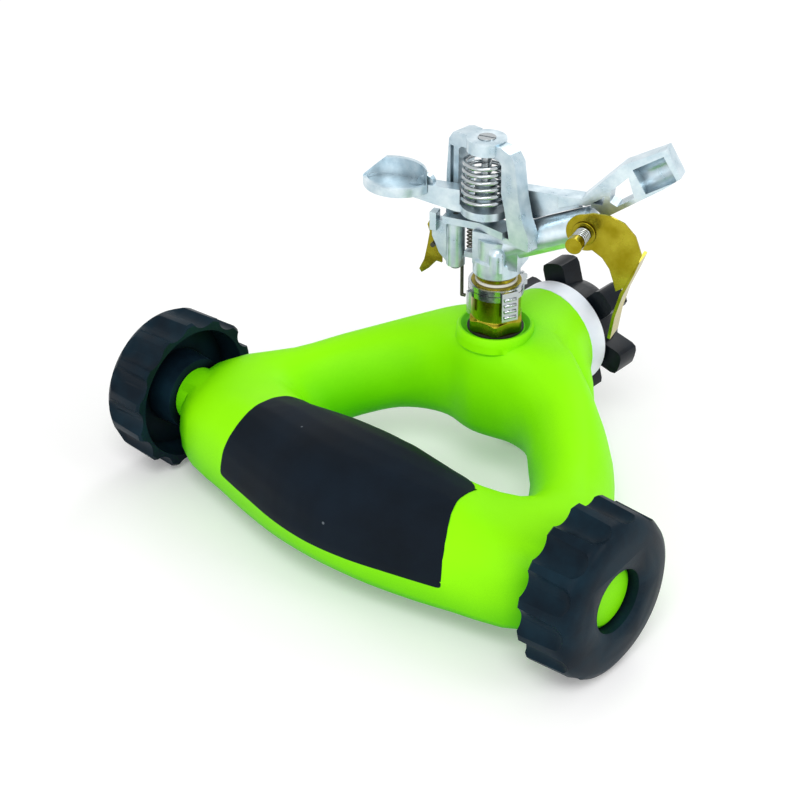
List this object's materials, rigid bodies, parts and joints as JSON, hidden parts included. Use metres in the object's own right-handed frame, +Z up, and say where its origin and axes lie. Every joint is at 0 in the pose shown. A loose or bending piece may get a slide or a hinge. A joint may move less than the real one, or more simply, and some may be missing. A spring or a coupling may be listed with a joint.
{
  "type": "garden_sprinkler",
  "caption": "Impact sprinkler on a moulded ring base with a rubber-gripped carrying handle, scalloped side wheels, hose swivel inlet, slanted nozzle, sprung arm, trip lever and brass deflector.",
  "frame": {"origin": "middle of the box on the ground under the wheels and the rear foot", "axes": "+X along the wheels' axle, +Y from the handle towards the hose inlet, +Z up"},
  "size_m": [0.2384, 0.1744, 0.1562],
  "materials": {
    "lime_plastic": "moulded lime green, soft sheen",
    "dark_rubber": "soft grip rubber, blue black",
    "wheel_plastic": "moulded blue black, satin",
    "black_plastic": "moulded black, satin",
    "raw_brass": "turned, dull inside",
    "yellow_brass": "turned and pressed, satin",
    "satin_metal": "satin silver",
    "cast_zinc": "die cast, tumbled, satin",
    "bright_steel": "bright drawn",
    "sprung_steel": "bright strip",
    "dark_steel": "dark drawn",
    "black_rubber": "dull",
    "white_plastic": "smooth"
  },
  "bodies": {
    "base": {"base_body": "lime_plastic", "grip_panel": "dark_rubber", "rear_foot": "dark_rubber", "left_axle": "lime_plastic", "right_axle": "lime_plastic", "water_elbow": "raw_brass", "collar_ring": "satin_metal", "inlet_tailpiece": "raw_brass", "hose_washer": "black_rubber", "nipple_seal": "black_rubber", "bearing_nipple": "yellow_brass"},
    "left_wheel": {"left_wheel": "wheel_plastic"},
    "right_wheel": {"right_wheel": "wheel_plastic"},
    "hose_nut": {"swivel_nut": "black_plastic"},
    "lower_collar": {"lower_trip_collar": "sprung_steel"},
    "upper_collar": {"upper_trip_collar": "sprung_steel"},
    "head": {"bearing_stem": "yellow_brass", "thrust_washer": "white_plastic", "stem_seal": "white_plastic", "sprinkler_body": "cast_zinc", "nozzle_tip": "cast_zinc", "fulcrum_pin": "bright_steel", "arm_spring": "bright_steel", "arm_washer": "white_plastic", "hammer_pin": "dark_steel", "trip_spring": "dark_steel"},
    "arm": {"impact_arm": "cast_zinc"},
    "hammer": {"reverse_hammer": "cast_zinc", "trip_wire": "dark_steel", "lever_pin": "dark_steel"},
    "lever": {"trip_lever": "yellow_brass"},
    "deflector": {"deflector": "yellow_brass"},
    "screw": {"diffuser_screw": "yellow_brass", "deflector_washer": "yellow_brass", "diffuser_spring": "bright_steel"}
  },
  "joints": [
    {"name": "left_wheel_spin", "type": "hinge", "parent": "base", "child": "left_wheel", "pos_m": [-0.1082, -0.05065, 0.0325], "axis": [1, 0, 0], "continuous": true},
    {"name": "right_wheel_spin", "type": "hinge", "parent": "base", "child": "right_wheel", "pos_m": [0.1082, -0.05065, 0.0325], "axis": [1, 0, 0], "continuous": true},
    {"name": "hose_nut_spin", "type": "hinge", "parent": "base", "child": "hose_nut", "pos_m": [0, 0.07835, 0.046], "axis": [0, 1, 0], "continuous": true},
    {"name": "head_turn", "type": "hinge", "parent": "base", "child": "head", "pos_m": [0, 0.02535, 0.09], "axis": [0, 0, 1], "continuous": true},
    {"name": "lower_collar_set", "type": "hinge", "parent": "base", "child": "lower_collar", "pos_m": [0, 0.02535, 0.0855], "axis": [0, 0, 1], "range_deg": [-60, 60]},
    {"name": "upper_collar_set", "type": "hinge", "parent": "base", "child": "upper_collar", "pos_m": [0, 0.02535, 0.088], "axis": [0, 0, 1], "range_deg": [-60, 60]},
    {"name": "arm_swing", "type": "hinge", "parent": "head", "child": "arm", "pos_m": [-0.00478, 0.02389, 0.123], "axis": [0, 0, 1], "range_deg": [0, 90], "stiffness_Nm_per_rad": 0.02, "springref_deg": -11.46},
    {"name": "hammer_swing", "type": "hinge", "parent": "head", "child": "hammer", "pos_m": [-0.01683, 0.0202, 0.1], "axis": [0, 0, 1], "range_deg": [-12, 12]},
    {"name": "trip_lever_swing", "type": "hinge", "parent": "hammer", "child": "lever", "pos_m": [-0.02622, 0.02047, 0.1], "axis": [-0.2924, 0.9563, 0], "range_deg": [-10, 40]},
    {"name": "deflector_tilt", "type": "hinge", "parent": "head", "child": "deflector", "pos_m": [0.03916, 0.02896, 0.12114], "axis": [0.2924, -0.9563, 0], "range_deg": [-8, 30]},
    {"name": "diffuser_screw_turn", "type": "hinge", "parent": "head", "child": "screw", "pos_m": [0.04091, 0.02322, 0.12114], "axis": [0.2924, -0.9563, 0], "range_deg": [-180, 180]}
  ]
}
